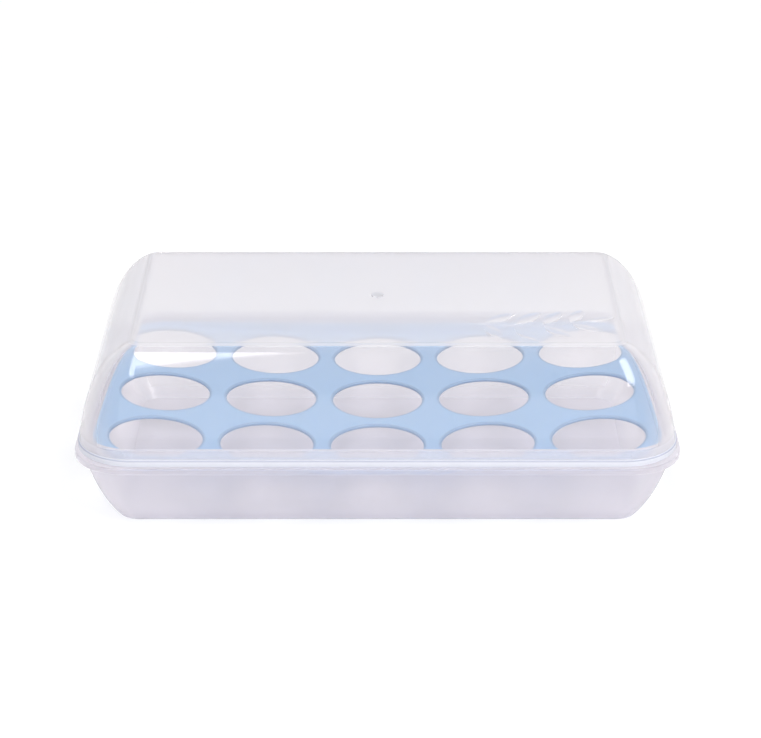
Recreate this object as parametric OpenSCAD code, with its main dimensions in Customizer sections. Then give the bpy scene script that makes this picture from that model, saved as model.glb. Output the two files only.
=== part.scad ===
// Egg storage container: a shallow clear tray, a coloured rack with a hole for each egg,
// and a tall clear cover that drops over the tray's rim. Units are millimetres.

/* [Egg holes] */
// Holes along the length
hole_cols = 5; // [2:1:6]
// Holes across the depth
hole_rows = 3; // [2:1:4]
// Distance between hole centres
hole_pitch = 50; // [46:0.5:60]
// Diameter of a hole
hole_d = 42; // [36:0.5:44]
// Bevel round the top edge of a hole
hole_bevel = 0.5; // [0.2:0.1:0.7]

/* [Rack] */
// Thickness of the rack's plate
rack_t = 1.6; // [1.2:0.1:2.2]
// Plate beyond the last hole at each end
rack_end_margin = 7; // [5:0.5:12]
// Plate beyond the last hole at the front and back
rack_side_margin = 4; // [3:0.5:10]
// Corner radius of the rack
rack_corner_r = 24; // [18:1:28]
// How far the middle of the plate hangs below its ends
rack_sag = 6.9; // [4:0.1:8]
// Width of the rack's upturned border
border_t = 1.4; // [1:0.1:2]
// How far the border's top edge dips at mid length
border_sag = 1.5; // [0.5:0.1:2.5]
// How far the plate's top face lies below the tray's rim at mid length
rack_drop = 10.5; // [9.5:0.5:14.5]

/* [Tray] */
// Wall thickness of the tray
tray_t = 1.4; // [1:0.1:1.8]
// Space between the rack and the tray's rim at each end
rack_end_gap = 1.9; // [1.5:0.1:3]
// Space between the rack and the tray's rim at the front and back
rack_side_gap = 0.9; // [0.8:0.1:2]
// Height of the tray's rim
tray_h = 40.5; // [36:0.5:60]
// How far the wall swells out below the ledge
shoulder_swell = 0.6; // [0.2:0.1:1]
// How far each end wall leans in from the ledge to the floor
end_lean = 14.4; // [8:0.2:18]
// How far the front and back walls lean in from the ledge to the floor
side_lean = 12.3; // [8:0.2:18]
// Corner radius of the tray at its rim
rim_corner_r = 22.5; // [20:0.5:26]
// Corner radius of the tray at its floor
floor_corner_r = 10; // [6:0.5:14]

/* [Ledge round the tray] */
// How far the ledge stands out from the rim
ledge_reach = 4.4; // [3.8:0.1:6]
// How far the ledge's top face lies below the rim
ledge_below = 7.3; // [5.5:0.1:7.5]
// How far the top of the tray's wall lies below the ledge's top face
shoulder_drop = 2.2; // [2:0.1:4]
// Depth of the ledge's turned-down edge
ledge_drop = 3; // [2:0.1:4]

/* [Seats for the rack] */
// Width of the shelf inside each end of the tray
seat_w = 5.4; // [4:0.1:7]
// Thickness of the shelf
seat_t = 1.4; // [1:0.1:2]
// Space between the shelf and the rack
seat_play = 0.1; // [0.05:0.05:0.3]

/* [Cover] */
// Height of the cover, from its foot to its flat top
cover_h = 48.7; // [36.5:0.1:76.5]
// Wall thickness of the cover
cover_t = 1.4; // [1:0.1:1.8]
// Space between the tray's rim and the foot of the cover
cover_gap = 1.3; // [1.2:0.1:2]
// Space between the ledge and the edge that stands on it
cover_rest_gap = 0.3; // [0.2:0.1:0.5]
// How far the cover's walls lean in from foot to top
cover_lean = 25.4; // [18:0.2:30]
// Corner radius of the cover at its foot
cover_foot_r = 25.5; // [23:0.5:30]
// Corner radius of the cover at its flat top
cover_top_r = 4; // [2:0.5:8]
// How far the bead round the foot stands out
bead_reach = 0.4; // [0.2:0.1:0.8]
// Height of the bead
bead_h = 3; // [2:0.1:4]
// Diameter of the round gate mark at the middle of the top
gate_d = 6; // [4:0.5:10]
// How far the gate mark stands up
gate_h = 0.5; // [0.2:0.1:0.6]

/* [Hidden] */
arc_steps = 12;
wall_steps = 9;
hole_fn = 96;
sag_fn = 1440;
edge_r = 0.3;
merge = 0.4;
tray_roundness = 0.37;
cover_roundness = 0.8;
shoulder_corner_step = 2;
ledge_corner_step = 1.5;

// Heights, worked out from the tray's rim
ledge_z = tray_h - ledge_below;
shoulder_z = ledge_z - shoulder_drop;
rack_z = tray_h - rack_drop;
cover_foot_z = ledge_z + cover_rest_gap;
cover_z = cover_foot_z + cover_h;

// Half sizes, worked out from the holes outwards
rack_half = [(hole_cols - 1) * hole_pitch / 2 + hole_d / 2 + rack_end_margin,
             (hole_rows - 1) * hole_pitch / 2 + hole_d / 2 + rack_side_margin];
rim_half = rack_half + [rack_end_gap + tray_t, rack_side_gap + tray_t];
shoulder_half = grow(rim_half, shoulder_swell);
shoulder_r = rim_corner_r - shoulder_corner_step;
ledge_half = grow(rim_half, ledge_reach);
ledge_r = rim_corner_r + ledge_corner_step;
cover_half = grow(rim_half, cover_gap + cover_t);

// The plate and its border are cut by wide cylinders that lie across the rack
plate_r = sag_radius(rack_half[0], rack_sag);
border_r = sag_radius(rack_half[0], border_sag);
border_z = rack_z + rack_sag - border_sag;

function grow(half, by) = [half[0] + by, half[1] + by];
function mix(a, b, k) = a + (b - a) * k;
function sag_radius(half_span, sag) = (half_span * half_span + sag * sag) / (2 * sag);
function sag_height(x, radius) = radius - sqrt(radius * radius - x * x);

// A wall's section, part straight and part ellipse, upright at k = 0 and level at k = 1
function lean_at(k, roundness) = roundness * (1 - cos(90 * k)) + (1 - roundness) * k;
function rise_at(k, roundness) = roundness * sin(90 * k) + (1 - roundness) * k;

// One level of a shell: a rectangle with round corners, as points at height z
function level(half, r, z) = [
    for (quarter = [0:3], i = [0:arc_steps])
        let (a = 90 * (quarter + i / arc_steps),
             side_x = quarter == 0 || quarter == 3 ? 1 : -1,
             side_y = quarter < 2 ? 1 : -1)
        [side_x * (half[0] - r) + r * cos(a), side_y * (half[1] - r) + r * sin(a), z]];

// Skin over a stack of levels, closed by the first (facing down) and the last (facing up)
module loft(levels) {
    n = len(levels[0]);
    last = len(levels) - 1;
    sides = [for (i = [0:last - 1], j = [0:n - 1])
        [i * n + j, (i + 1) * n + j, (i + 1) * n + (j + 1) % n, i * n + (j + 1) % n]];
    start = [for (j = [0:n - 1]) j];
    end = [for (j = [0:n - 1]) last * n + n - 1 - j];
    polyhedron(points = [for (l = levels) each l], faces = concat([start], sides, [end]), convexity = 6);
}

// The tray's wall from the ledge (k = 0) down to the floor (k = 1), by t inside its outer face
function tray_level(k, t) =
    let (lean = lean_at(k, tray_roundness))
    level([shoulder_half[0] - t - end_lean * lean, shoulder_half[1] - t - side_lean * lean],
          mix(shoulder_r, floor_corner_r, lean) - t,
          shoulder_z - (shoulder_z - t) * rise_at(k, tray_roundness));

function rim_level(by, z) = level(grow(rim_half, by), rim_corner_r + by, z);
function ledge_level(by, z) = level(grow(ledge_half, by), ledge_r + by, z);

module tray() {
    web_z = ledge_z - tray_t;
    drop_z = ledge_z - ledge_drop;
    outer_wall = [for (i = [wall_steps:-1:0]) tray_level(i / wall_steps, 0)];
    ledge = [
        level(shoulder_half, shoulder_r, web_z),
        ledge_level(-tray_t, web_z),
        ledge_level(-tray_t, drop_z),
        ledge_level(-edge_r, drop_z),
        ledge_level(0, drop_z + edge_r),
        ledge_level(0, ledge_z - edge_r),
        ledge_level(-edge_r, ledge_z)];
    rim = [
        rim_level(0, ledge_z),
        rim_level(0, tray_h - edge_r),
        rim_level(-edge_r, tray_h),
        rim_level(edge_r - tray_t, tray_h),
        rim_level(-tray_t, tray_h - edge_r),
        rim_level(-tray_t, ledge_z)];
    inner_wall = [for (i = [0:wall_steps]) tray_level(i / wall_steps, tray_t)];
    color([0.86, 0.86, 0.90, 0.5]) {
        loft(concat(outer_wall, ledge, rim, inner_wall));
        for (end = [0, 1]) mirror([end, 0, 0]) end_seat();
    }
}

// Shelf inside one end of the tray, under the rack's raised end
module end_seat() {
    inner_x = rim_half[0] - tray_t - seat_w;
    length = 2 * (rim_half[1] - rim_corner_r);
    top_z = rack_z - rack_t + sag_height(inner_x, plate_r + rack_t) - seat_play;
    translate([inner_x, -length / 2, top_z - seat_t]) cube([seat_w + tray_t / 2, length, seat_t]);
}

// The rack's outline, drawn in by inset
module rack_outline(inset) {
    half = grow(rack_half, -inset);
    r = rack_corner_r - inset;
    square([2 * half[0], 2 * (half[1] - r)], center = true);
    square([2 * (half[0] - r), 2 * half[1]], center = true);
    for (x = [-1, 1], y = [-1, 1])
        translate([x * (half[0] - r), y * (half[1] - r)]) circle(r = r, $fn = hole_fn);
}

// A wide cylinder across the rack, whose lowest line lies at height z
module sag_cylinder(radius, z) {
    translate([0, 0, z + radius]) rotate([90, 0, 0])
        cylinder(r = radius, h = 2 * rack_half[1] + 10, center = true, $fn = sag_fn);
}

// One egg hole with its bevel, square to the curved plate at distance x from the middle
module egg_hole(x, y) {
    reach = 2 * rack_t;
    flare = hole_bevel + reach;
    translate([0, y, rack_z + plate_r]) rotate([0, -asin(x / plate_r), 0]) translate([0, 0, -plate_r]) {
        translate([0, 0, -reach]) cylinder(d = hole_d, h = 2 * reach, $fn = hole_fn);
        translate([0, 0, -hole_bevel])
            cylinder(d1 = hole_d, d2 = hole_d + 2 * flare, h = flare, $fn = hole_fn);
    }
}

module egg_rack() {
    tall = rack_z + rack_sag + 1;
    color([0.62, 0.76, 0.93]) difference() {
        intersection() {
            linear_extrude(height = tall) rack_outline(0);
            sag_cylinder(plate_r + rack_t, rack_z - rack_t);
        }
        intersection() {
            linear_extrude(height = tall) rack_outline(border_t);
            sag_cylinder(plate_r, rack_z);
        }
        sag_cylinder(border_r, border_z);
        for (col = [0:hole_cols - 1], row = [0:hole_rows - 1])
            egg_hole((col - (hole_cols - 1) / 2) * hole_pitch, (row - (hole_rows - 1) / 2) * hole_pitch);
    }
}

// The cover's wall from its foot (k = 0) up to its flat top (k = 1), by t inside its outer face
function cover_level(k, t) =
    let (lean = lean_at(k, cover_roundness))
    level(grow(cover_half, -t - cover_lean * lean),
          mix(cover_foot_r, cover_top_r, lean) - t,
          cover_foot_z + (cover_h - t) * rise_at(k, cover_roundness));

function bead_level(by, z) = level(grow(cover_half, by), cover_foot_r + by, z);

module cover() {
    bead_z = cover_foot_z + bead_h;
    bead_k = (bead_h + edge_r) / (cover_h * (1 + cover_roundness * (PI / 2 - 1)));
    inner_wall = [for (i = [wall_steps:-1:0]) cover_level(i / wall_steps, cover_t)];
    bead = [
        bead_level(bead_reach - edge_r, cover_foot_z),
        bead_level(bead_reach, cover_foot_z + edge_r),
        bead_level(bead_reach, bead_z - edge_r)];
    outer_wall = [for (i = [0:wall_steps]) cover_level(mix(bead_k, 1, i / wall_steps), 0)];
    color([0.93, 0.93, 0.95, 0.4]) {
        loft(concat(inner_wall, bead, outer_wall));
        translate([0, 0, cover_z - merge]) cylinder(d = gate_d, h = merge + gate_h, $fn = hole_fn / 2);
    }
}

tray();
egg_rack();
cover();
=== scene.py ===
import math

import bmesh
import bpy
from mathutils import Matrix, Vector


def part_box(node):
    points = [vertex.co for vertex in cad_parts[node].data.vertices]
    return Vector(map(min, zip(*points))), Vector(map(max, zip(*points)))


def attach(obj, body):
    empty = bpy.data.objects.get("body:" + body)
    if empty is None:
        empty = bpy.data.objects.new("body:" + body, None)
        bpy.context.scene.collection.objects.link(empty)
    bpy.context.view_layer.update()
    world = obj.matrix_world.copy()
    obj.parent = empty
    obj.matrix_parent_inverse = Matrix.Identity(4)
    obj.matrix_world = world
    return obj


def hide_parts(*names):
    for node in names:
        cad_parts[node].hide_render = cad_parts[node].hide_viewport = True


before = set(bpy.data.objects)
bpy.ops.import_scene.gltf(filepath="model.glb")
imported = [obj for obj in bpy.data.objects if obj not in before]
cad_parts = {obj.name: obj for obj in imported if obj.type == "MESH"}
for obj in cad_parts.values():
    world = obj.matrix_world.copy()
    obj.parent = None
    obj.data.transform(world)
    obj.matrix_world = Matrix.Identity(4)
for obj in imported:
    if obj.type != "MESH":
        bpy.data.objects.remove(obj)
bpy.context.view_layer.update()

# Boxes of the three moulded pieces. All lengths are in metres
TRAY_LOW, TRAY_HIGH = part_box("tray")
RACK_LOW, RACK_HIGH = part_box("egg_rack")
COVER_LOW, COVER_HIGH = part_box("cover")

# Wall of the clear tray and cover, and the round on the edges of all three pieces
WALL = 0.0014
EDGE_ROUND = 0.00045

# How finely curves are divided, and what counts as one point or as a crease
CORNER_STEPS = 28
WALL_STEPS = 30
ROUND_STEPS = 4
CAP_MARGIN = 0.0012
MERGE = 1e-6
CREASE_ANGLE = math.radians(38)

# Tray: its corners as seen from above, the ledge, the shoulder under it, and the lean of its walls
RIM_CORNER = 0.0225
FLOOR_CORNER = 0.010
LEDGE_REACH = 0.0044
LEDGE_BELOW_RIM = 0.0073
LEDGE_DROP = 0.003
LEDGE_CORNER_STEP = 0.0015
SHOULDER_DROP = 0.0022
SHOULDER_SWELL = 0.0006
SHOULDER_CORNER_STEP = 0.002
END_LEAN = 0.0144
SIDE_LEAN = 0.0123
TRAY_ROUNDNESS = 0.37
RIM_HALF = (TRAY_HIGH.x - LEDGE_REACH, TRAY_HIGH.y - LEDGE_REACH)
LEDGE_TOP = TRAY_HIGH.z - LEDGE_BELOW_RIM
SHOULDER_TOP = LEDGE_TOP - SHOULDER_DROP

# Shelf under each end of the rack
SEAT_WIDTH = 0.0054
SEAT_THICKNESS = 0.0014
SEAT_PLAY = 0.0001

# Cover: the bead round its foot, its leaning walls, and the gate mark in the middle of its top
BEAD_REACH = 0.0004
BEAD_HEIGHT = 0.003
BEAD_END_ANGLE = 70
COVER_LEAN = 0.0254
COVER_FOOT_CORNER = 0.0255
COVER_TOP_CORNER = 0.004
COVER_ROUNDNESS = 0.8
GATE_WIDTH = 0.006
GATE_HEIGHT = 0.0005
GATE_SLOPE = 0.25
GATE_SINK = 0.0003
GATE_STEPS = 48
COVER_HALF = (COVER_HIGH.x - BEAD_REACH, COVER_HIGH.y - BEAD_REACH)
COVER_TOP = COVER_HIGH.z - GATE_HEIGHT
COVER_HEIGHT = COVER_TOP - COVER_LOW.z

# Sprig of leaves in relief, at the front right of the cover's top
STEM_CENTRE = (0.067, 0.039)
STEM_RADIUS = 0.075
STEM_REACH = math.radians(20)
STEM_WIDTH = 0.0012
STEM_STEPS = 32
LEAF_PAIRS = 4
LARGEST_PAIR = 1
SIZE_STEP = 0.08
TIP_LEAF_SIZE = 0.75
LEAF_TURN = math.radians(52)
LEAF_LENGTH = 0.0185
LEAF_WIDTH = 0.0072
LEAF_GAP = 0.0016
LEAF_STEPS = 8
LEAF_DRAFT = 0.97
DISC_STEPS = 96
RELIEF = 0.00028
RELIEF_SINK = 0.0004
VEIN_RISE = 0.00018

# Rack with its egg holes, its plate that sags along its length, and its upturned border
HOLE_COLUMNS = 5
HOLE_ROWS = 3
HOLE_PITCH = 0.050
HOLE_RADIUS = 0.021
HOLE_STEPS = 72
HOLE_ROUND = 0.0007
RACK_THICKNESS = 0.0016
RACK_CORNER = 0.024
RACK_SAG = 0.0069
BORDER_THICKNESS = 0.0014
BORDER_SAG = 0.0015
BEND_STEP = 0.004
RACK_HALF = (RACK_HIGH.x, RACK_HIGH.y)

# The plate's upper face and the border's top, at the middle of the rack, where both are lowest
PLATE_LOW = RACK_LOW.z + RACK_THICKNESS
BORDER_LOW = PLATE_LOW + RACK_SAG - BORDER_SAG

# Rings of the border carry this height until the rack is bent
BORDER_MARK = 1.0


def sag_radius(half_span, sag):
    """Radius of an arc that sags this far between its ends."""
    return (half_span * half_span + sag * sag) / (2 * sag)


def sag_height(x, radius):
    """Height of such an arc over its lowest point."""
    return radius - math.sqrt(radius * radius - x * x)


PLATE_RADIUS = sag_radius(RACK_HALF[0], RACK_SAG)
BORDER_RADIUS = sag_radius(RACK_HALF[0], BORDER_SAG)


def mix(a, b, k):
    """The value a share k of the way from a to b."""
    return a + (b - a) * k


def grow(half, by):
    """Half sizes of a rectangle that is grown outwards all round."""
    return half[0] + by, half[1] + by


def lean_at(k, roundness):
    """How far a wall has leaned in, part straight and part ellipse, from 0 to 1."""
    return roundness * (1 - math.cos(k * math.pi / 2)) + (1 - roundness) * k


def rise_at(k, roundness):
    """How far the same wall has risen, from 0 to 1."""
    return roundness * math.sin(k * math.pi / 2) + (1 - roundness) * k


def corner_arc(by, z, radius, start, end):
    """Offsets and heights round a rounded edge whose centre is at (by, z), from one angle to another."""
    return [
        (by + radius * math.cos(a), z + radius * math.sin(a))
        for a in (math.radians(mix(start, end, i / ROUND_STEPS)) for i in range(ROUND_STEPS + 1))
    ]


def levels_from(profile, half, radius):
    """The levels of a wall of even offset: each is (half sizes, corner radius, height)."""
    return [(grow(half, by), radius + by, z) for by, z in profile]


def rounded_rectangle(bm, half, radius, z):
    """A flat face with round corners, at height z."""
    corners = [bm.verts.new((x * half[0], y * half[1], z)) for x, y in ((1, 1), (-1, 1), (-1, -1), (1, -1))]
    bm.faces.new(corners)
    rounded = bmesh.ops.bevel(
        bm, geom=corners, offset=radius, offset_type="OFFSET", segments=CORNER_STEPS, profile=0.5,
        affect="VERTICES", material=-1,
    )["verts"]
    return rounded[0].link_faces[0]


def ring(bm, half, radius, z):
    """The edges of a rectangle with round corners."""
    face = rounded_rectangle(bm, half, radius, z)
    edges = face.edges[:]
    bmesh.ops.delete(bm, geom=[face], context="FACES_ONLY")
    return edges


def circle(bm, x, y, radius, z):
    """The edges of a circle at height z."""
    made = bmesh.ops.create_circle(
        bm, segments=HOLE_STEPS, radius=radius, matrix=Matrix.Translation((x, y, z)))
    return list({e for v in made["verts"] for e in v.link_edges})


def skin(bm, make_ring, levels):
    """A wall over a stack of levels. Each strip is bridged by itself, and merged with the next later."""
    for lower, upper in zip(levels, levels[1:]):
        bmesh.ops.bridge_loops(bm, edges=make_ring(bm, *lower) + make_ring(bm, *upper))


def cut(bm, place, normal, keep_far_side=False):
    """Cuts everything in bm along a plane, and drops what lies behind it if only the far side is kept."""
    everything = bm.verts[:] + bm.edges[:] + bm.faces[:]
    bmesh.ops.bisect_plane(bm, geom=everything, plane_co=place, plane_no=normal, clear_inner=keep_far_side)


def shade(bm):
    """Smooth faces, with creases where they meet at a corner."""
    for face in bm.faces:
        face.smooth = True
    for edge in bm.edges:
        edge.smooth = edge.calc_face_angle(0) < CREASE_ANGLE


def finish_mesh(bm, name):
    """Closes up a bmesh, marks its creases and makes it an object."""
    bmesh.ops.remove_doubles(bm, verts=bm.verts, dist=MERGE)
    bmesh.ops.recalc_face_normals(bm, faces=bm.faces)
    shade(bm)
    mesh = bpy.data.meshes.new(name)
    bm.to_mesh(mesh)
    bm.free()
    obj = bpy.data.objects.new(name, mesh)
    bpy.context.scene.collection.objects.link(obj)
    return obj


def flat_inside(level):
    """A level just inside an end of the stack, so that the flat there stays flat in its shading."""
    half, radius, z = level
    return grow(half, -CAP_MARGIN), max(radius - CAP_MARGIN, CAP_MARGIN), z


def lofted(name, levels):
    """A closed skin over a stack of levels."""
    bm = bmesh.new()
    capped = [flat_inside(levels[0])] + levels + [flat_inside(levels[-1])]
    skin(bm, ring, capped)
    for end in (capped[0], capped[-1]):
        rounded_rectangle(bm, *end)
    return finish_mesh(bm, name)


def join_solid(obj, added):
    """Fuses a closed piece into obj, as one moulding."""
    union = obj.modifiers.new("fuse", "BOOLEAN")
    union.operation = "UNION"
    union.solver = "EXACT"
    union.object = added
    evaluated = obj.evaluated_get(bpy.context.evaluated_depsgraph_get())
    fused = bpy.data.meshes.new_from_object(evaluated)
    obj.modifiers.remove(union)
    bm = bmesh.new()
    bm.from_mesh(fused)
    shade(bm)
    bm.to_mesh(fused)
    bm.free()
    obj.data = fused
    bpy.data.objects.remove(added)


def tray_level(k, inset):
    """A level of the tray's wall, from its shoulder at k = 0 down to its floor at k = 1."""
    shoulder = grow(RIM_HALF, SHOULDER_SWELL - inset)
    lean = lean_at(k, TRAY_ROUNDNESS)
    half = (shoulder[0] - END_LEAN * lean, shoulder[1] - SIDE_LEAN * lean)
    radius = mix(RIM_CORNER - SHOULDER_CORNER_STEP, FLOOR_CORNER, lean) - inset
    return half, radius, SHOULDER_TOP - (SHOULDER_TOP - inset) * rise_at(k, TRAY_ROUNDNESS)


def make_tray():
    """The tray: floor, leaning walls, ledge with its turned-down edge, and upright rim."""
    r = EDGE_ROUND
    web = LEDGE_TOP - WALL
    drop = LEDGE_TOP - LEDGE_DROP
    top = TRAY_HIGH.z
    ledge_half = grow(RIM_HALF, LEDGE_REACH)
    ledge_corner = RIM_CORNER + LEDGE_CORNER_STEP
    outer_wall = [tray_level(i / WALL_STEPS, 0) for i in range(WALL_STEPS, -1, -1)]
    under_ledge = [(grow(RIM_HALF, SHOULDER_SWELL), RIM_CORNER - SHOULDER_CORNER_STEP, web)]
    ledge = [(-WALL, web), (-WALL, drop + r)]
    ledge += corner_arc(r - WALL, drop + r, r, 180, 270)
    ledge += corner_arc(-r, drop + r, r, 270, 360)
    ledge += corner_arc(-r, LEDGE_TOP - r, r, 0, 90)
    rim = [(r, LEDGE_TOP), (0, LEDGE_TOP + r)]
    rim += corner_arc(-r, top - r, r, 0, 90)
    rim += corner_arc(r - WALL, top - r, r, 90, 180)
    rim += [(-WALL, LEDGE_TOP)]
    inner_wall = [tray_level(i / WALL_STEPS, WALL) for i in range(WALL_STEPS + 1)]
    tray = lofted(
        "tray_moulding",
        outer_wall + under_ledge + levels_from(ledge, ledge_half, ledge_corner)
        + levels_from(rim, RIM_HALF, RIM_CORNER) + inner_wall,
    )
    for end in (-1, 1):
        join_solid(tray, make_seat(end))
    return tray


def make_seat(end):
    """Shelf inside one end of the tray, under the rack's raised end."""
    inner_x = RIM_HALF[0] - WALL - SEAT_WIDTH
    top = PLATE_LOW - RACK_THICKNESS + sag_height(inner_x, PLATE_RADIUS + RACK_THICKNESS) - SEAT_PLAY
    width = SEAT_WIDTH + WALL / 2
    length = 2 * (RIM_HALF[1] - RIM_CORNER)
    bm = bmesh.new()
    place = Matrix.Translation((end * (inner_x + width / 2), 0, top - SEAT_THICKNESS / 2))
    bmesh.ops.create_cube(bm, size=1, matrix=place @ Matrix.Diagonal((width, length, SEAT_THICKNESS, 1)))
    return finish_mesh(bm, "seat")


def cover_level(k, inset):
    """A level of the cover's wall, from its foot at k = 0 up to the flat top at k = 1."""
    lean = lean_at(k, COVER_ROUNDNESS)
    half = grow(COVER_HALF, -inset - COVER_LEAN * lean)
    radius = mix(COVER_FOOT_CORNER, COVER_TOP_CORNER, lean) - inset
    return half, radius, COVER_LOW.z + (COVER_HEIGHT - inset) * rise_at(k, COVER_ROUNDNESS)


def make_cover():
    """The cover: a bead round the foot, walls that lean in and curve over into the flat top."""
    r = BEAD_REACH
    foot = COVER_LOW.z
    first_slope = 1 + COVER_ROUNDNESS * (math.pi / 2 - 1)
    bead_share = (BEAD_HEIGHT + r) / (COVER_HEIGHT * first_slope)
    inner_wall = [cover_level(i / WALL_STEPS, WALL) for i in range(WALL_STEPS, -1, -1)]
    bead = [(0, foot)] + corner_arc(0, foot + r, r, 270, 360)
    bead += corner_arc(0, foot + BEAD_HEIGHT - r, r, 0, BEAD_END_ANGLE)
    outer_wall = [cover_level(mix(bead_share, 1, i / WALL_STEPS), 0) for i in range(WALL_STEPS + 1)]
    bead_levels = levels_from(bead, COVER_HALF, COVER_FOOT_CORNER)
    cover = lofted("cover_moulding", inner_wall + bead_levels + outer_wall)
    join_solid(cover, make_relief())
    return cover


def make_relief():
    """All that stands up from the cover's top: the gate mark and a bent sprig of leaves."""
    bm = bmesh.new()
    add_gate_mark(bm)
    add_stem(bm)
    for pair in range(LEAF_PAIRS):
        along = STEM_REACH * (2 * (pair + 0.5) / LEAF_PAIRS - 1)
        size = 1 - SIZE_STEP * abs(pair - LARGEST_PAIR)
        for turn in (-LEAF_TURN, LEAF_TURN):
            add_leaf(bm, size, along, turn)
    add_leaf(bm, TIP_LEAF_SIZE, STEM_REACH, 0)
    return finish_mesh(bm, "relief")


def add_gate_mark(bm):
    """Round mark at the middle of the top, where the plastic entered the mould."""
    depth = GATE_HEIGHT + GATE_SINK
    bmesh.ops.create_cone(
        bm, cap_ends=True, segments=GATE_STEPS, radius1=GATE_WIDTH / 2 + GATE_SLOPE * GATE_SINK,
        radius2=GATE_WIDTH / 2 - GATE_SLOPE * GATE_HEIGHT, depth=depth,
        matrix=Matrix.Translation((0, 0, COVER_HIGH.z - depth / 2)))


def raise_faces(bm):
    """Thickens the flat outline in bm into a closed relief. Gives the vertices of its top."""
    made = bmesh.ops.extrude_face_region(bm, geom=bm.faces[:])["geom"]
    top = [item for item in made if isinstance(item, bmesh.types.BMVert)]
    bmesh.ops.translate(bm, verts=top, vec=(0, 0, RELIEF_SINK + RELIEF))
    return top


def add_to(bm, piece, matrix):
    """Moves a piece into place and adds it to bm."""
    piece.transform(matrix)
    mesh = bpy.data.meshes.new("relief piece")
    piece.to_mesh(mesh)
    piece.free()
    bm.from_mesh(mesh)
    bpy.data.meshes.remove(mesh)


def on_stem(along):
    """The place and heading of the stem at an angle along its arc."""
    place = (STEM_CENTRE[0] + STEM_RADIUS * math.sin(along), STEM_CENTRE[1] - STEM_RADIUS * math.cos(along))
    return Matrix.Translation((*place, COVER_TOP - RELIEF_SINK)) @ Matrix.Rotation(along, 4, "Z")


def add_stem(bm):
    """The stem, a narrow strip along its arc."""
    stem = bmesh.new()
    ends = [stem.verts.new((0, side * STEM_WIDTH / 2, 0)) for side in (-1, 1)]
    bmesh.ops.spin(
        stem, geom=ends + [stem.edges.new(ends)], cent=(0, STEM_RADIUS, 0), axis=(0, 0, 1),
        angle=2 * STEM_REACH, steps=STEM_STEPS)
    raise_faces(stem)
    add_to(bm, stem, on_stem(-STEM_REACH))


def add_leaf(bm, size, along, turn):
    """A pointed leaf with a ridge down its middle, beside the stem or at its tip.

    Half of it is cut from a disc, and then mirrored.
    """
    length, width = size * LEAF_LENGTH, size * LEAF_WIDTH
    radius = (length * length + width * width) / (4 * width)
    leaf = bmesh.new()
    bmesh.ops.create_circle(
        leaf, cap_ends=True, segments=DISC_STEPS, radius=radius,
        matrix=Matrix.Translation((length / 2, width / 2 - radius, 0)))
    cut(leaf, (0, 0, 0), (0, 1, 0), keep_far_side=True)
    for i in range(1, LEAF_STEPS):
        cut(leaf, (i * length / LEAF_STEPS, 0, 0), (1, 0, 0))
    bmesh.ops.mirror(leaf, geom=leaf.verts[:] + leaf.edges[:] + leaf.faces[:], axis="Y", merge_dist=MERGE)
    top = raise_faces(leaf)
    bmesh.ops.scale(
        leaf, verts=top, vec=(LEAF_DRAFT, LEAF_DRAFT, 1), space=Matrix.Translation((-length / 2, 0, 0)))
    for vert in top:
        if abs(vert.co.y) < MERGE:
            vert.co.z += VEIN_RISE * math.sin(math.pi * vert.co.x / length)
    add_to(bm, leaf, on_stem(along) @ Matrix.Rotation(turn, 4, "Z") @ Matrix.Translation((LEAF_GAP, 0, 0)))


def hole_centres():
    """The centres of the egg holes, column by column."""
    for column in range(HOLE_COLUMNS):
        for row in range(HOLE_ROWS):
            yield (column - (HOLE_COLUMNS - 1) / 2) * HOLE_PITCH, (row - (HOLE_ROWS - 1) / 2) * HOLE_PITCH


def make_rack():
    """The rack, made flat and then bent: a plate with round-edged holes and an upturned border."""
    bm = bmesh.new()
    r = EDGE_ROUND
    base = -RACK_THICKNESS
    outside = corner_arc(-r, base + r, r, 270, 360) + corner_arc(-r, BORDER_MARK - r, r, 0, 90)
    outside += corner_arc(r - BORDER_THICKNESS, BORDER_MARK - r, r, 90, 180)
    outside += [(-BORDER_THICKNESS, r), (-BORDER_THICKNESS - r, 0)]
    border = levels_from(outside, RACK_HALF, RACK_CORNER)
    skin(bm, ring, border)
    top_edges, base_edges = ring(bm, *border[-1]), ring(bm, *border[0])
    section = corner_arc(HOLE_ROUND, -HOLE_ROUND, HOLE_ROUND, 90, 180)
    section += corner_arc(HOLE_ROUND, base + HOLE_ROUND, HOLE_ROUND, 180, 270)
    for x, y in hole_centres():
        hole = [(x, y, HOLE_RADIUS + by, z) for by, z in section]
        skin(bm, circle, hole)
        top_edges += circle(bm, *hole[0])
        base_edges += circle(bm, *hole[-1])
    for edges in (top_edges, base_edges):
        bmesh.ops.triangle_fill(bm, edges=edges, use_beauty=True)
    bmesh.ops.remove_doubles(bm, verts=bm.verts, dist=MERGE)
    bend_rack(bm)
    return finish_mesh(bm, "rack_moulding")


def bend_rack(bm):
    """Lets the flat rack sag along its length, the border less than the plate."""
    steps = int(RACK_HALF[0] / BEND_STEP)
    for i in range(-steps, steps + 1):
        cut(bm, (i * BEND_STEP, 0, 0), (1, 0, 0))
    for vert in bm.verts:
        plate = PLATE_LOW + sag_height(vert.co.x, PLATE_RADIUS)
        border_top = BORDER_LOW + sag_height(vert.co.x, BORDER_RADIUS)
        if vert.co.z > BORDER_MARK / 2:
            vert.co.z = max(border_top + vert.co.z - BORDER_MARK, plate + EDGE_ROUND)
        else:
            vert.co.z += plate


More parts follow.
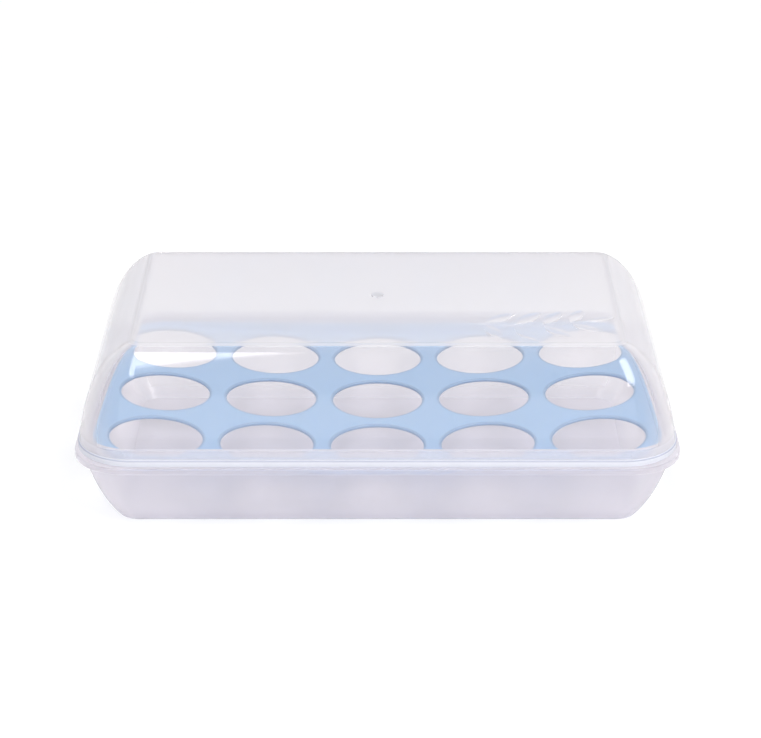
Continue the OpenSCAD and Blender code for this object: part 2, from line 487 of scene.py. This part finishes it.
# Looks of the plastics. A slant is 0 for a face seen straight on and 1 for one seen from its side
PLASTIC_IOR = 1.49
SURFACE_INPUTS = ("Wave Size", "Wave Share", "Grain Size", "Roughness Low", "Roughness High")
WAVE_DETAIL, GRAIN_DETAIL, DRIFT_DETAIL = 1.0, 2.0, 3.0
DRIFT_SIZE = 25.0
DRIFT_LOW, DRIFT_HIGH = 0.3, 0.7
VEIL_FULL_SLANT = 0.75
VEIL_EDGE_SLANTS = (0.78, 0.98)
VEIL_AT_EDGE = 0.3
# Width of the painted shade on the rounded edges of the egg holes
HOLE_SHADE_WIDTH = 0.0009
RACK_BLUE = (0.35, 0.551, 0.792)
# Darker blue painted on the edges of the egg holes as their shade
HOLE_EDGE_SHADE_BLUE = (0.26, 0.41, 0.62)


def new_material(name):
    """An empty material and its node tree."""
    material = bpy.data.materials.new(name)
    material.use_nodes = True
    return material, material.node_tree


def set_values(node, values):
    """Sets inputs of a node by their names."""
    for name, value in values.items():
        node.inputs[name].default_value = value


def own_place(tree):
    """Where a point lies on its own piece, in metres."""
    return tree.nodes.new("ShaderNodeTexCoord").outputs["Object"]


def plain_shader(tree, kind, colour):
    """A shader of a kind such as Diffuse, in one colour."""
    shader = tree.nodes.new("ShaderNodeBsdf" + kind)
    shader.inputs["Color"].default_value = (*colour, 1)
    return shader.outputs[0]


def calculated(tree, operation, first, second):
    """One step of arithmetic on two values in a material."""
    step = tree.nodes.new("ShaderNodeMath")
    step.operation = operation
    tree.links.new(first, step.inputs[0])
    tree.links.new(second, step.inputs[1])
    return step.outputs[0]


def eased(tree, value, start, end, low, high):
    """A smooth step of a value, from low at start to high at end."""
    step = tree.nodes.new("ShaderNodeMapRange")
    step.interpolation_type = "SMOOTHSTEP"
    tree.links.new(value, step.inputs["Value"])
    set_values(step, {"From Min": start, "From Max": end, "To Min": low, "To Max": high})
    return step.outputs["Result"]


def mixed(tree, factor, first, second):
    """Two shaders mixed by a fixed factor or by one that varies."""
    both = tree.nodes.new("ShaderNodeMixShader")
    if isinstance(factor, float):
        both.inputs[0].default_value = factor
    else:
        tree.links.new(factor, both.inputs[0])
    tree.links.new(first, both.inputs[1])
    tree.links.new(second, both.inputs[2])
    return both.outputs[0]


def moulded_surface_group():
    """Surface of a moulding: a slow waviness, a fine grain, and a roughness that drifts a little."""
    group = bpy.data.node_groups.new("moulded surface", "ShaderNodeTree")
    for name in SURFACE_INPUTS:
        group.interface.new_socket(name, in_out="INPUT", socket_type="NodeSocketFloat")
    for name in ("Height", "Roughness"):
        group.interface.new_socket(name, in_out="OUTPUT", socket_type="NodeSocketFloat")
    nodes, links = group.nodes, group.links
    entry, exit_ = nodes.new("NodeGroupInput"), nodes.new("NodeGroupOutput")
    place = own_place(group)
    wave, grain, drift = (nodes.new("ShaderNodeTexNoise") for _ in range(3))
    for texture, detail in ((wave, WAVE_DETAIL), (grain, GRAIN_DETAIL), (drift, DRIFT_DETAIL)):
        texture.inputs["Detail"].default_value = detail
        links.new(place, texture.inputs["Vector"])
    drift.inputs["Scale"].default_value = DRIFT_SIZE
    links.new(entry.outputs["Wave Size"], wave.inputs["Scale"])
    links.new(entry.outputs["Grain Size"], grain.inputs["Scale"])
    height = nodes.new("ShaderNodeMix")
    links.new(entry.outputs["Wave Share"], height.inputs["Factor"])
    links.new(grain.outputs["Fac"], height.inputs["A"])
    links.new(wave.outputs["Fac"], height.inputs["B"])
    links.new(height.outputs["Result"], exit_.inputs["Height"])
    rough = nodes.new("ShaderNodeMapRange")
    set_values(rough, {"From Min": DRIFT_LOW, "From Max": DRIFT_HIGH})
    links.new(drift.outputs["Fac"], rough.inputs["Value"])
    links.new(entry.outputs["Roughness Low"], rough.inputs["To Min"])
    links.new(entry.outputs["Roughness High"], rough.inputs["To Max"])
    links.new(rough.outputs["Result"], exit_.inputs["Roughness"])
    return group


MOULDED_SURFACE = moulded_surface_group()


def add_surface(tree, shader, values, bump_strength, bump_depth):
    """Gives a shader the surface of a moulding. The values are those of SURFACE_INPUTS, in order."""
    surface = tree.nodes.new("ShaderNodeGroup")
    surface.node_tree = MOULDED_SURFACE
    set_values(surface, dict(zip(SURFACE_INPUTS, values)))
    bump = tree.nodes.new("ShaderNodeBump")
    set_values(bump, {"Strength": bump_strength, "Distance": bump_depth})
    tree.links.new(surface.outputs["Height"], bump.inputs["Height"])
    tree.links.new(bump.outputs["Normal"], shader.inputs["Normal"])
    tree.links.new(surface.outputs["Roughness"], shader.inputs["Roughness"])


def veil_share(tree, low, high):
    """How milky the plastic looks: more where it is seen at a slant, and less again at its very edge."""
    slant = tree.nodes.new("ShaderNodeLayerWeight").outputs["Facing"]
    rising = eased(tree, slant, 0.0, VEIL_FULL_SLANT, low, high)
    return calculated(tree, "MULTIPLY", rising, eased(tree, slant, *VEIL_EDGE_SLANTS, 1.0, VEIL_AT_EDGE))


def with_band(tree, seen, low, high, fade, share, colour):
    """Lays a share of a plain colour over what is seen between two heights, with soft ends."""
    split = tree.nodes.new("ShaderNodeSeparateXYZ")
    tree.links.new(own_place(tree), split.inputs[0])
    above = eased(tree, split.outputs["Z"], low - fade, low, 0.0, share)
    below = eased(tree, split.outputs["Z"], high, high + fade, 1.0, 0.0)
    here = calculated(tree, "MULTIPLY", above, below)
    return mixed(tree, here, seen, plain_shader(tree, "Diffuse", colour))


def clear_plastic(name, tint, veil_colour, veil, shadow_tint, roughness, bands):
    """Clear moulded plastic with a milky veil, that lets the lamps' light through to what is inside.

    Each of the bands, such as a thick bead, has its lowest and highest level, the width over which
    it fades out there, its share and its colour.
    """
    material, tree = new_material(name)
    glass = tree.nodes["Principled BSDF"]
    set_values(glass, {"Base Color": (*tint, 1), "IOR": PLASTIC_IOR, "Transmission Weight": 1.0})
    add_surface(tree, glass, (20, 1.0, 1200, *roughness), bump_strength=0.06, bump_depth=0.0004)
    front, back = (plain_shader(tree, kind, veil_colour) for kind in ("Diffuse", "Translucent"))
    seen = mixed(tree, veil_share(tree, *veil), glass.outputs[0], mixed(tree, 0.5, front, back))
    for band in bands:
        seen = with_band(tree, seen, **band)
    rays = tree.nodes.new("ShaderNodeLightPath").outputs
    from_lamps = calculated(tree, "MAXIMUM", rays["Is Shadow Ray"], rays["Is Diffuse Ray"])
    whole = mixed(tree, from_lamps, seen, plain_shader(tree, "Transparent", shadow_tint))
    tree.links.new(whole, tree.nodes["Material Output"].inputs["Surface"])
    return material


def clear_cover():
    """Glossy plastic of the cover, milky in its bead, where a painted glow is added, with painted shade on
    the bead's top and a painted highlight where its wall turns into the top.
    """
    bead_top = COVER_LOW.z + BEAD_HEIGHT
    milky = (0.81, 0.825, 0.9)
    # The bead is thicker, milkier plastic; its whiteness is also a painted glow that stands in for the
    # light its edge carries and reflects.
    bead = dict(low=COVER_LOW.z, high=bead_top, fade=EDGE_ROUND, share=0.9, colour=milky)
    # Painted shade: a dark band on the rounded top of the bead, which faces the lamps.
    bead_edge = dict(
        low=bead_top - BEAD_REACH, high=bead_top, fade=0.0002, share=0.8, colour=(0.42, 0.44, 0.55))
    over_bead = dict(low=bead_top + 0.0006, high=bead_top + 0.0034, fade=0.0008, share=0.22, colour=milky)
    # Painted highlight: a pale band along the crease where the wall turns into the top.
    crease = dict(
        low=COVER_TOP - 0.0006, high=COVER_TOP - 0.0002, fade=0.0002, share=0.6, colour=(0.65, 0.64, 0.67))
    gate_mark = dict(low=COVER_HIGH.z, high=COVER_HIGH.z, fade=0.00002, share=0.5, colour=(0.5, 0.5, 0.54))
    return clear_plastic(
        "clear cover plastic", tint=(0.95, 0.94, 0.95), veil_colour=(0.965, 0.925, 0.92), veil=(0.05, 0.6),
        shadow_tint=(0.92, 0.915, 0.93), roughness=(0.0, 0.01),
        bands=[bead, bead_edge, over_bead, crease, gate_mark])


def clear_tray():
    """Satin plastic of the tray, with a painted highlight along its rim, painted shade on the ledge under
    the cover's bead, and painted shade darker towards the foot.
    """
    rim_top = TRAY_HIGH.z
    # Painted shade on the ledge, under the cover's bead that sits on it.
    ledge = dict(
        low=LEDGE_TOP - EDGE_ROUND, high=LEDGE_TOP, fade=EDGE_ROUND, share=0.15, colour=(0.4, 0.41, 0.5))
    # Painted highlight: a pale band along the rounded top of the rim.
    rim = dict(low=rim_top - EDGE_ROUND, high=rim_top, fade=EDGE_ROUND, share=0.45, colour=(0.9, 0.9, 0.96))
    # Painted shade, darkest at the bottom of the tray and fading out up its walls.
    foot = dict(low=TRAY_LOW.z, high=TRAY_LOW.z + 0.0005, fade=0.007, share=0.1, colour=(0.42, 0.42, 0.54))
    return clear_plastic(
        "clear tray plastic", tint=(0.97, 0.96, 0.98), veil_colour=(0.93, 0.885, 0.92), veil=(0.26, 0.6),
        shadow_tint=(0.94, 0.935, 0.955), roughness=(0.03, 0.05), bands=[ledge, rim, foot])


def hole_edge_shade_mask(tree):
    """Mask of the painted shade on the edge of each egg hole: 1 on the edge, fading out over the plate
    around it.

    A hole lies at the middle of the rack, so half a pitch is added before the pattern is cut into
    squares of one pitch, and is taken off again.
    """
    socket = own_place(tree)
    steps = (("DIVIDE", (HOLE_PITCH, HOLE_PITCH, 1)), ("ADD", (0.5, 0.5, 0)), ("FRACTION", None),
             ("SUBTRACT", (0.5, 0.5, 0)), ("MULTIPLY", (HOLE_PITCH, HOLE_PITCH, 0)), ("LENGTH", None))
    for operation, values in steps:
        step = tree.nodes.new("ShaderNodeVectorMath")
        step.operation = operation
        tree.links.new(socket, step.inputs[0])
        if values:
            step.inputs[1].default_value = values
        socket = step.outputs["Value" if operation == "LENGTH" else "Vector"]
    edge = HOLE_RADIUS + HOLE_ROUND
    return eased(tree, socket, edge, edge + HOLE_SHADE_WIDTH, 1.0, 0.0)


def blue_plastic():
    """Light blue satin plastic of the rack, with shade painted a little darker on the edges of its holes.
    """
    material, tree = new_material("light blue plastic")
    shader = tree.nodes["Principled BSDF"]
    colour = tree.nodes.new("ShaderNodeMix")
    colour.data_type = "RGBA"
    tree.links.new(hole_edge_shade_mask(tree), colour.inputs["Factor"])
    set_values(colour, {"A": (*RACK_BLUE, 1), "B": (*HOLE_EDGE_SHADE_BLUE, 1)})
    tree.links.new(colour.outputs["Result"], shader.inputs["Base Color"])
    set_values(shader, {"IOR": PLASTIC_IOR, "Subsurface Weight": 0.3, "Subsurface Radius": (0.6, 0.8, 1.0),
                        "Subsurface Scale": 0.002})
    add_surface(tree, shader, (60, 0.7, 1500, 0.3, 0.42), bump_strength=0.1, bump_depth=0.0003)
    return material


def dress(obj, body, node, material):
    """Gives a piece its look and its body, and hides the CAD node that it stands for."""
    obj.data.materials.clear()
    obj.data.materials.append(material)
    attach(obj, body)
    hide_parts(node)


def build_container():
    """The three mouldings. The rack rests in the tray, and so rides on its body."""
    cover_plastic, tray_plastic = clear_cover(), clear_tray()
    dress(make_tray(), "tray", "tray", tray_plastic)
    dress(make_rack(), "tray", "egg_rack", blue_plastic())
    dress(make_cover(), "cover", "cover", cover_plastic)


# Studio: a floor whose glow grows from near the object to far off, an even white world, and softboxes
FLOOR_HALF = 4.0
FLOOR_DROP = 0.0002
FLOOR_NEAR, FLOOR_FAR = 0.6, 1.6
NEAR_GLOW, FAR_GLOW = 0.6, 0.85
WORLD_FILL = 0.48
LEFT_TURN = math.radians(-14.5)
RIGHT_TURN = math.radians(-11)


def seen_directly(tree):
    """1 for rays that the eye follows: straight, mirrored or through clear plastic."""
    rays = tree.nodes.new("ShaderNodeLightPath").outputs
    mirrored = calculated(tree, "MAXIMUM", rays["Is Camera Ray"], rays["Is Glossy Ray"])
    return calculated(tree, "MAXIMUM", mirrored, rays["Is Transmission Ray"])


def make_floor():
    """Pale floor. Seen directly it is white, with the object's shadow, and stays white far off."""
    bm = bmesh.new()
    bmesh.ops.create_grid(
        bm, x_segments=1, y_segments=1, size=FLOOR_HALF, matrix=Matrix.Translation((0, 0, -FLOOR_DROP)))
    floor = finish_mesh(bm, "floor")
    material, tree = new_material("pale floor")
    shader = tree.nodes["Principled BSDF"]
    set_values(shader, {"Base Color": (0.82, 0.82, 0.83, 1), "Roughness": 0.9, "Specular IOR Level": 0.0})
    distance = tree.nodes.new("ShaderNodeVectorMath")
    distance.operation = "LENGTH"
    tree.links.new(own_place(tree), distance.inputs[0])
    strength = eased(tree, distance.outputs["Value"], FLOOR_NEAR, FLOOR_FAR, NEAR_GLOW, FAR_GLOW)
    glow, white = tree.nodes.new("ShaderNodeEmission"), tree.nodes.new("ShaderNodeAddShader")
    tree.links.new(strength, glow.inputs["Strength"])
    tree.links.new(plain_shader(tree, "Diffuse", (0.45, 0.45, 0.455)), white.inputs[0])
    tree.links.new(glow.outputs[0], white.inputs[1])
    whole = mixed(tree, seen_directly(tree), shader.outputs[0], white.outputs[0])
    tree.links.new(whole, tree.nodes["Material Output"].inputs["Surface"])
    floor.data.materials.append(material)


def make_world():
    """White where it is seen directly, and a weaker, even light for everything else."""
    world = bpy.data.worlds.new("studio")
    bpy.context.scene.world = world
    world.use_nodes = True
    tree = world.node_tree
    light, backdrop = tree.nodes["Background"], tree.nodes.new("ShaderNodeBackground")
    set_values(light, {"Color": (1, 1, 1, 1), "Strength": WORLD_FILL})
    set_values(backdrop, {"Color": (1, 1, 1, 1)})
    whole = mixed(tree, seen_directly(tree), light.outputs[0], backdrop.outputs[0])
    tree.links.new(whole, tree.nodes["World Output"].inputs["Surface"])


def make_softbox(name, place, aim, size, watts, turn=0.0):
    """A lamp panel that faces a point, turned about its own middle."""
    lamp = bpy.data.lights.new(name, "AREA")
    lamp.shape = "RECTANGLE"
    lamp.size, lamp.size_y = size
    lamp.energy = watts
    obj = bpy.data.objects.new(name, lamp)
    bpy.context.scene.collection.objects.link(obj)
    obj.location = place
    direction = Vector([to - at for at, to in zip(place, aim)])
    obj.rotation_euler = direction.to_track_quat("-Z", "Y").to_euler()
    obj.rotation_euler.rotate_axis("Z", turn)


def make_studio():
    """Floor, world and lamps. The core brightens the middle of the left softbox."""
    make_floor()
    make_world()
    make_softbox(
        "left softbox", place=(-0.424, -0.577, 1.38), aim=(-0.424, -0.52, 0), size=(0.42, 1.18),
        watts=2.4, turn=LEFT_TURN)
    make_softbox(
        "left softbox core", place=(-0.424, -0.577, 1.39), aim=(-0.424, -0.52, 0), size=(0.36, 1.18),
        watts=5.2, turn=LEFT_TURN)
    make_softbox(
        "right softbox", place=(0.77, -0.68, 1.27), aim=(0.11, -0.066, 0.075), size=(0.6, 0.96),
        watts=12, turn=RIGHT_TURN)
    make_softbox("front softbox", place=(0, -2.2, 0.45), aim=(0, 0, 0.03), size=(3.4, 1.4), watts=8)
    make_softbox("back softbox", place=(0, 0.5, 1.38), aim=(0, 0.5, 0), size=(1.3, 0.3), watts=2.2)


# Camera, set to the photograph's view: its place, its downward tilt and its lens
CAMERA_PLACE = (0.00137, -1.0321, 0.5089)
CAMERA_TILT = math.radians(65.79)
LENS = 114.2
SENSOR = 36.0


def make_camera():
    """The camera that gives the photograph's view."""
    camera = bpy.data.objects.new("camera", bpy.data.cameras.new("camera"))
    bpy.context.scene.collection.objects.link(camera)
    camera.location = CAMERA_PLACE
    camera.rotation_euler = (CAMERA_TILT, 0, 0)
    camera.data.lens = LENS
    camera.data.sensor_width = SENSOR
    bpy.context.scene.camera = camera


build_container()
make_studio()
make_camera()

scene = bpy.context.scene
scene.view_settings.view_transform = "Standard"
scene.cycles.use_denoising = True
scene.cycles.max_bounces = 24
scene.cycles.transmission_bounces = 20
scene.cycles.transparent_max_bounces = 32
scene.cycles.glossy_bounces = 8
scene.cycles.diffuse_bounces = 4
